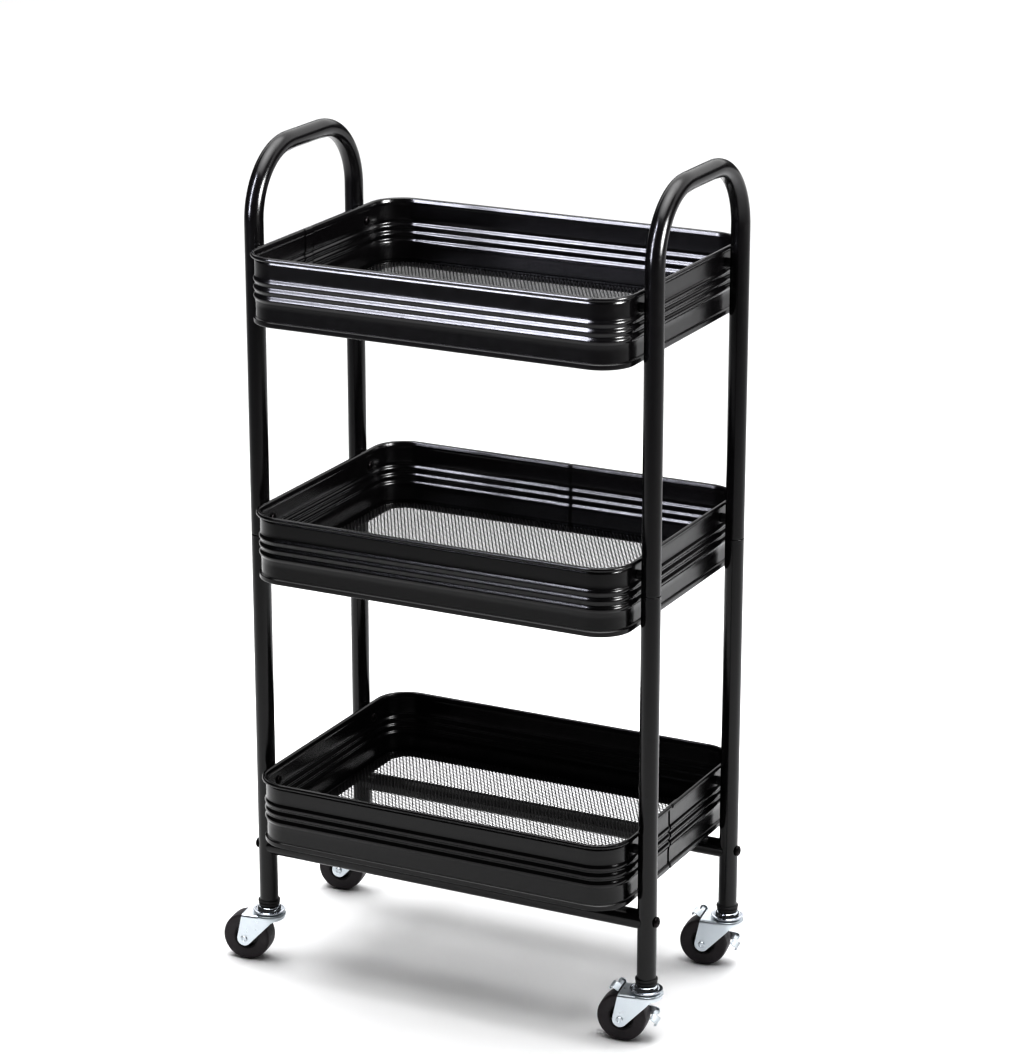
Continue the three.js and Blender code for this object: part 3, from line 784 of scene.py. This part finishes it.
def caster_place(corner):
    """The matrix that takes a caster built about the origin to its leg."""
    swivel = Vector(JOINTS[f"{corner}_swivel"]["pos_m"])
    axle = Vector(JOINTS[f"{corner}_wheel_spin"]["pos_m"])
    trail = Vector((axle.x - swivel.x, axle.y - swivel.y, 0)).normalized()
    across = Vector((-trail.y, trail.x, 0))
    matrix = Matrix((trail, across, (0, 0, 1))).transposed().to_4x4()
    matrix.translation = (swivel.x, swivel.y, 0)
    return matrix


def on_axle(solid):
    """Turns a solid built up Z to lie along the axle."""
    return moved(solid, Matrix.Translation((TRAIL, 0, WHEEL_R)) @ Matrix.Rotation(-math.pi / 2, 4, "X"))


def socket():
    """Moulded plug with its stepped collar between leg and caster."""
    bottom, top = SOCKET_BOTTOM, LEG_BOTTOM - 0.1 * MM
    bore = 3.9 * MM
    plug = TUBE_R - TUBE_WALL - 0.1 * MM
    groove = top - 2.9 * MM
    collar = [(9.7 * MM, bottom), (10.6 * MM, bottom + 1.4 * MM), (10.9 * MM, groove - 0.5 * MM)]
    collar += [(10.3 * MM, groove - 0.1 * MM), (10.3 * MM, groove + 0.3 * MM)]
    collar += [(11.2 * MM, groove + 0.8 * MM), (11.1 * MM, top - 0.4 * MM), (10.2 * MM, top)]
    inside_leg = [(plug, top), (plug, top + PLUG_LENGTH), (bore, top + PLUG_LENGTH)]
    return turned(rounded([(bore, bottom)] + collar + inside_leg, 0.4 * MM), 56)


def dome_race():
    """Stem and the pressed dome that covers the swivel's balls, with a flat lip."""
    top = SOCKET_BOTTOM - 0.15 * MM
    lip_top, lip_bottom = top - 4.2 * MM, top - 5.9 * MM
    lip_edge = 0.85 * MM
    ceiling = CROWN_TOP + 3.2 * MM
    rivet = CROWN_TOP - 4 * MM
    profile = [(0, rivet), (5.6 * MM, rivet), (6 * MM, rivet + 0.6 * MM), (6 * MM, rivet + 1.2 * MM)]
    profile += [(STEM_R, rivet + 1.3 * MM), (STEM_R, ceiling), (12.4 * MM, ceiling)]
    profile += [(14.4 * MM, lip_bottom), (RACE_R - 0.9 * MM, lip_bottom)]
    profile += arc((RACE_R - lip_edge, (lip_top + lip_bottom) / 2), lip_edge, -80, 80, 8)
    profile += [(RACE_R - 1.8 * MM, lip_top), (RACE_R - 2.2 * MM, lip_top - 0.3 * MM)]
    profile += [(13.4 * MM, lip_top - 0.2 * MM)]
    for i in range(1, 11):
        part = i / 11
        rise = (top - lip_top) * math.sin(part * math.pi / 2)
        profile.append((13.2 * MM - 3.6 * MM * part ** 1.3, lip_top + rise))
    stem_top = SOCKET_BOTTOM + 26 * MM
    profile += [(9.2 * MM, top), (STEM_R, top), (STEM_R, stem_top), (0, stem_top)]
    return turned(profile, 72)


def swivel_balls():
    """The steel balls in their thin cage, between the dome and the fork's crown."""
    middle = CROWN_TOP + 0.1 * MM + BALL_R
    half_wide, half_thick = 1.4 * MM, 0.3 * MM
    inner, outer = BALL_CIRCLE - half_wide, BALL_CIRCLE + half_wide
    bottom, top = middle - half_thick, middle + half_thick
    cage = turned(rounded([(inner, bottom), (outer, bottom), (outer, top), (inner, top)], 0.1 * MM))
    for i in range(BALL_COUNT):
        angle = TAU * i / BALL_COUNT
        centre = (BALL_CIRCLE * math.cos(angle), BALL_CIRCLE * math.sin(angle), middle)
        bmesh.ops.create_icosphere(cage, subdivisions=2, radius=BALL_R, matrix=Matrix.Translation(centre))
    return cage


def drawn_cup(reach, top, bend, low):
    """A block straight-sided over the wheel and round behind the swivel, its top edge rounded by a bend."""
    rings = []
    stops = [(0.0, low)] + [(bend * (1 - math.cos(turn)), top - bend + bend * math.sin(turn))
                            for turn in [math.pi / 2 * i / 6 for i in range(7)]]
    for inset, z in stops:
        r = reach - inset
        outline = [(x, y) for x, y in arc((0, 0), r, 90, 270, 36)] + [(60 * MM, -r), (60 * MM, r)]
        rings.append([(x, y, z) for x, y in outline])
    return loft(rings)


def fork_side():
    """The fork seen along its axle: a tapering cheek with a round tip, and the skirt behind the swivel."""
    rear, skirt = -24 * MM, CROWN_TOP - 6.6 * MM
    outline = [(rear, CROWN_TOP + 4 * MM), (rear, skirt + 1.2 * MM), (-14 * MM, skirt + 0.6 * MM),
               (-8.8 * MM, skirt), (-6.6 * MM, skirt - 1.2 * MM)]
    outline += arc((TRAIL, WHEEL_R), FORK_TIP_R, 224, 370, 18)
    outline += [(FORK_FRONT, CROWN_TOP - 0.5 * MM), (FORK_FRONT, CROWN_TOP + 4 * MM)]
    return outline


def stamped_fork():
    """The fork: a plate drawn down into cheeks and a round skirt, with a raised ring under the dome."""
    plate = CROWN_TOP - 0.8 * MM
    outside = drawn_cup(FORK_HALF, plate, 3.0 * MM, -5 * MM)
    inside = drawn_cup(FORK_HALF - FORK_SHEET, plate - FORK_SHEET, 1.3 * MM, -6 * MM)
    shell = combine(outside, inside, "DIFFERENCE")
    cheeks = combine(shell, prism(fork_side(), -30 * MM, 30 * MM, "xz"), "INTERSECT")
    ring_r, hole_r = 17.0 * MM, 4.6 * MM
    under = [(hole_r, plate - FORK_SHEET), (14.2 * MM, plate - FORK_SHEET), (15.2 * MM, plate - 3.0 * MM)]
    edge = [(ring_r - 0.7 * MM, plate - 3.2 * MM), (ring_r, plate - 2.4 * MM), (ring_r, plate - 1.2 * MM)]
    over = [(ring_r - 1.0 * MM, CROWN_TOP - 0.6 * MM), (ring_r - 2.4 * MM, CROWN_TOP), (hole_r, CROWN_TOP)]
    drilled = combine(cheeks, turned(rounded(under + edge + over, 0.5 * MM), 72), "UNION")
    along_axle = Matrix.Translation((TRAIL, 0, WHEEL_R)) @ Matrix.Rotation(math.pi / 2, 4, "X")
    reach = 60 * MM
    for r, matrix in ((hole_r, Matrix.Identity(4)), (2.8 * MM, along_axle)):
        drill = turned([(0, -reach), (r, -reach), (r, reach), (0, reach)], 36)
        drilled = combine(drilled, moved(drill, matrix), "DIFFERENCE")
    return drilled


def axle_rivet(braked):
    """The axle: a rivet with a flat domed head one side and a rolled-over end the other."""
    near = FORK_HALF + 0.05 * MM
    far = near + (1.7 * MM if braked else 0)
    head, shank, proud = 3.6 * MM, 2.5 * MM, 1.5 * MM
    flat_head = [(0, -far - proud * 0.7), (1.3 * MM, -far - proud * 0.7), (1.9 * MM, -far - proud)]
    flat_head += [(head - 0.7 * MM, -far - proud * 0.9), (head, -far - proud * 0.4), (head, -far)]
    rolled_end = [(head, near), (head, near + proud * 0.4), (head - 0.6 * MM, near + proud * 0.9)]
    rolled_end += [(2.1 * MM, near + proud), (1.6 * MM, near + proud * 0.55), (0, near + proud * 0.5)]
    return on_axle(turned(flat_head + [(shank, -far), (shank, near)] + rolled_end, 32))


def wheel_core():
    """Moulded hub, deeply dished on both faces round a raised boss."""
    half, bore, boss, rim = WHEEL_WIDTH / 2, 2.6 * MM, 5.2 * MM, 12.4 * MM
    web = 3.5 * MM
    side = [(bore, half + 2.6 * MM), (boss, half + 2.6 * MM), (boss + 0.8 * MM, web), (rim - 1.6 * MM, web),
            (rim - 1.0 * MM, half - 1.2 * MM), (rim, half - 1.0 * MM)]
    profile = rounded(side + [(r, -z) for r, z in reversed(side)], 0.4 * MM, 2)
    return on_axle(turned(profile, 48))


def tyre():
    """Solid tyre with a flat side ring, rounded shoulders and a barely crowned tread."""
    half, r, inner = WHEEL_WIDTH / 2, WHEEL_R, 12.45 * MM
    shoulder = 2.6 * MM
    upper = [(inner, half - 1.0 * MM), (inner + 0.5 * MM, half - 0.5 * MM)]
    upper += [(inner + 1.2 * MM, half - 0.35 * MM), (r - shoulder - 2 * MM, half - 0.05 * MM)]
    upper += arc((r - shoulder - 0.25 * MM, half - shoulder), shoulder, 90, 8, 7)
    upper += [(r - 0.06 * MM, half * 0.45), (r, 0)]
    profile = upper + [(radius, -z) for radius, z in reversed(upper[:-1])]
    return on_axle(turned(profile, 80))


BRAKE_ARMS = ((29.6 * MM, 76, -46), (31.1 * MM, 181, 28))  # length, direction from the trail, tread's tilt
BRAKE_ARM_R = 4.2 * MM
BRAKE_SHEET = 1.5 * MM
TREAD_LONG = 7.6 * MM
TREAD_NEAR, TREAD_FAR = -23.4 * MM, -9.2 * MM  # across the wheel, measured from the rocker plate
TREAD_RIBS = 4


def brake_tread():
    """The part for the foot, across the wheel: ribbed sheet whose outer edge is curled under."""
    curl = 1.7 * MM
    half = TREAD_LONG / 2
    stops = [(Vector((-half + TREAD_LONG * k / 8, 0)), 0, min(k, 8 - k) / 2) for k in range(9)]
    for k in range(1, 13):
        turn = math.radians(200 * k / 12)
        stops.append((Vector((half + curl * math.sin(turn), -curl * (1 - math.cos(turn)))), turn, 0))
    rings = []
    for centre, turn, rib in stops:
        normal = Vector((math.sin(turn), math.cos(turn)))
        line = []
        for i in range(49):
            part = i / 48
            crest = math.sin(math.pi * TREAD_RIBS * part) ** 2
            line.append((TREAD_NEAR + (TREAD_FAR - TREAD_NEAR) * part, 0.75 * MM * min(1.0, rib) * crest))
        ring = []
        for across, rise in sheet_section(line, BRAKE_SHEET * 0.66):
            spot = centre + normal * (rise - 0.3 * MM)
            ring.append((spot.x, spot.y, across))
        rings.append(ring)
    return loft(rings)


def brake_rocker():
    """Stamped rocker on the axle behind the fork, with a tread over the wheel at each end."""
    near = FORK_HALF + 0.1 * MM
    parts = []
    for length, degrees, tilt in BRAKE_ARMS:
        turn = Matrix.Rotation(math.radians(degrees), 4, "Z")
        lean = Matrix.Translation((length, 0, 0)) @ Matrix.Rotation(math.radians(tilt), 4, "Z")
        upside = Matrix.Diagonal((1, -1 if tilt > 0 else 1, 1, 1))
        outline = arc((0, 0), BRAKE_ARM_R + 2 * MM, 90, 270, 12)
        outline += arc((length - 3 * MM, 0), BRAKE_ARM_R, -80, 80, 8)
        start, bottom, top = -TREAD_LONG / 2, -0.8 * MM, 0.4 * MM
        section = rounded([(start, bottom), (0, bottom), (0, top), (start, top)], 0.3 * MM)
        strap = prism(section, TREAD_FAR - 1 * MM, BRAKE_SHEET, "xy")
        parts += [moved(prism(outline, 0, BRAKE_SHEET, "xy"), turn), moved(strap, turn @ lean),
                  moved(brake_tread(), turn @ lean @ upside)]
    stand = Matrix.Translation((TRAIL, -near, WHEEL_R)) @ Matrix.Rotation(math.pi / 2, 4, "X")
    return moved(merge(*parts), stand)


def add_casters():
    """Makes each kind of caster piece once, and puts a copy at every leg."""
    kinds = [
        # name, builder, CAD node, body, material, slot, edge rounding in mm
        ("caster_collar", socket, "socket", "root", SOCKET_PLASTIC, "socket_plastic", 0),
        ("dome_race", dome_race, "stem", "root", BRIGHT_PLATING, "race_plating", 0),
        ("swivel_balls", swivel_balls, "bearing", "{}_fork", BRIGHT_PLATING, "race_plating", 0),
        ("stamped_fork", stamped_fork, "fork", "{}_fork", CLEAR_ZINC, "fork_zinc", 0.35),
        ("wheel_core", wheel_core, "hub", "{}_wheel", HUB_PLASTIC, "wheel_hub_plastic", 0),
        ("solid_tyre", tyre, "tyre", "{}_wheel", WHEEL_RUBBER, "tyre_rubber", 0),
    ]
    for name, builder, node, body, material, slot, edge in kinds:
        data = from_bmesh(name, builder())
        for corner in CORNERS:
            piece = finished(f"{name}_{corner}", data.copy(), material)
            piece.data.transform(caster_place(corner))
            if edge:
                soften(piece, edge)
            place(piece, body.format(corner), slot, f"{corner}_caster_{node}")
    for corner in CORNERS:
        braked = side_of(corner) > 0
        rivet = finished(f"axle_rivet_{corner}", from_bmesh("axle_rivet", axle_rivet(braked)), CLEAR_ZINC)
        rivet.data.transform(caster_place(corner))
        place(rivet, f"{corner}_fork", "fork_zinc", f"{corner}_caster_axle")
        if braked:
            data = from_bmesh("brake_rocker", brake_rocker())
            rocker = finished(f"brake_rocker_{corner}", data, CLEAR_ZINC)
            rocker.data.transform(caster_place(corner))
            soften(rocker, 0.25)
            place(rocker, f"{corner}_brake", "fork_zinc", f"{corner}_caster_brake")


# ---- Studio: floor, lights and camera ----

CAMERA_AZIMUTH = 26.7
CAMERA_ELEVATION = 17.75
CAMERA_DISTANCE = 3.526
CAMERA_TARGET = Vector((CART_X + 19.6 * MM, 0, 471.6 * MM))
CAMERA_LENS = 122.0
FLOOR_HALF = 30.0
AIR_GLOW = 0.06           # dim light from all round, so that no hollow is quite black
STRIP_ELEVATIONS = (6, 19, 32, 45)
STRIP_AZIMUTH = 28
STRIP_REACH = 1.4
STRIP_TARGET = Vector((-0.02, -0.15, 0.80))


def outward(azimuth, elevation):
    """Unit direction from the cart: azimuth is turned from the front towards the right, both in degrees."""
    turn, rise = math.radians(azimuth), math.radians(elevation)
    return Vector((math.sin(turn) * math.cos(rise), -math.cos(turn) * math.cos(rise), math.sin(rise)))


def aim(thing, target):
    """Turns a light or the camera to face a point."""
    thing.rotation_euler = (Vector(target) - thing.location).to_track_quat("-Z", "Y").to_euler()


def add_camera():
    """The camera at the front right, a little above the middle tray."""
    camera = bpy.data.objects.new("studio_camera", bpy.data.cameras.new("studio_camera"))
    bpy.context.scene.collection.objects.link(camera)
    camera.location = CAMERA_TARGET + outward(CAMERA_AZIMUTH, CAMERA_ELEVATION) * CAMERA_DISTANCE
    camera.data.lens = CAMERA_LENS
    camera.data.sensor_width = 36
    camera.data.clip_start = 0.05
    camera.data.clip_end = 200
    aim(camera, CAMERA_TARGET)
    bpy.context.scene.camera = camera


def add_softbox(name, location, target, width, height, watts, spread=180, colour="#ffffff"):
    """A rectangular light; a spread under 180 degrees acts like a grid in front of it."""
    light = bpy.data.objects.new(name, bpy.data.lights.new(name, "AREA"))
    bpy.context.scene.collection.objects.link(light)
    light.data.shape = "RECTANGLE"
    light.data.size, light.data.size_y = width, height
    light.data.energy = watts
    light.data.spread = math.radians(spread)
    light.data.color = linear(colour)[:3]
    light.location = location
    light.visible_camera = False
    aim(light, target)


def add_front_left_bank():
    """Gridded strip lights stacked in an arc and all aimed at the top tray's rim, for its ribs."""
    for level, elevation in enumerate(STRIP_ELEVATIONS):
        place_on_arc = STRIP_TARGET + outward(-STRIP_AZIMUTH, elevation) * STRIP_REACH
        add_softbox(f"front_left_strip_{level}", place_on_arc, STRIP_TARGET, width=1.2, height=0.34,
                    watts=0.55, spread=16, colour="#f1f2ff")


def add_studio():
    """White floor, dim white air, big overhead lights and a gridded light from each side."""
    half = FLOOR_HALF
    slab = prism([(-half, -half), (half, -half), (half, half), (-half, half)], -0.02, 0, "xy")
    floor = finished("studio_floor", from_bmesh("studio_floor", slab), studio_floor_paint())
    world = bpy.data.worlds.new("studio_air")
    world.use_nodes = True
    background = world.node_tree.nodes["Background"]
    background.inputs["Color"].default_value = linear("#ffffff")
    background.inputs["Strength"].default_value = AIR_GLOW
    bpy.context.scene.world = world
    add_softbox("back_overhead_softbox", (0, 5.6, 3.0), (0, 5.6, 0), width=11, height=9.4, watts=380)
    add_softbox("overhead_softbox", (-0.1, 0.1, 2.7), (-0.1, 0.1, 0), width=3.2, height=2.6,
                watts=40, spread=90)
    add_front_left_bank()
    add_softbox("right_softbox", (1.5, -0.2, 1.15), (0.2, -0.1, 0.84), width=1.5, height=0.6,
                watts=6, spread=34)
    bpy.context.scene.view_settings.view_transform = "Standard"
    bpy.context.scene.view_settings.look = "High Contrast"


# ---- Assembly ----

add_camera()
for side_name in ("left", "right"):
    handle_frame(side_name)
for corner_name in CORNERS:
    leg_tube(corner_name)
    bar_screw(corner_name)
cross_bar("front", -LEG_Y)
cross_bar("back", LEG_Y)
for tray_name in TRAYS:
    tray_wall(tray_name)
    expanded_mesh(tray_name)
    for corner_name in CORNERS:
        tray_screw(tray_name, corner_name)
        tray_spacer(tray_name, corner_name)
add_casters()
add_studio()
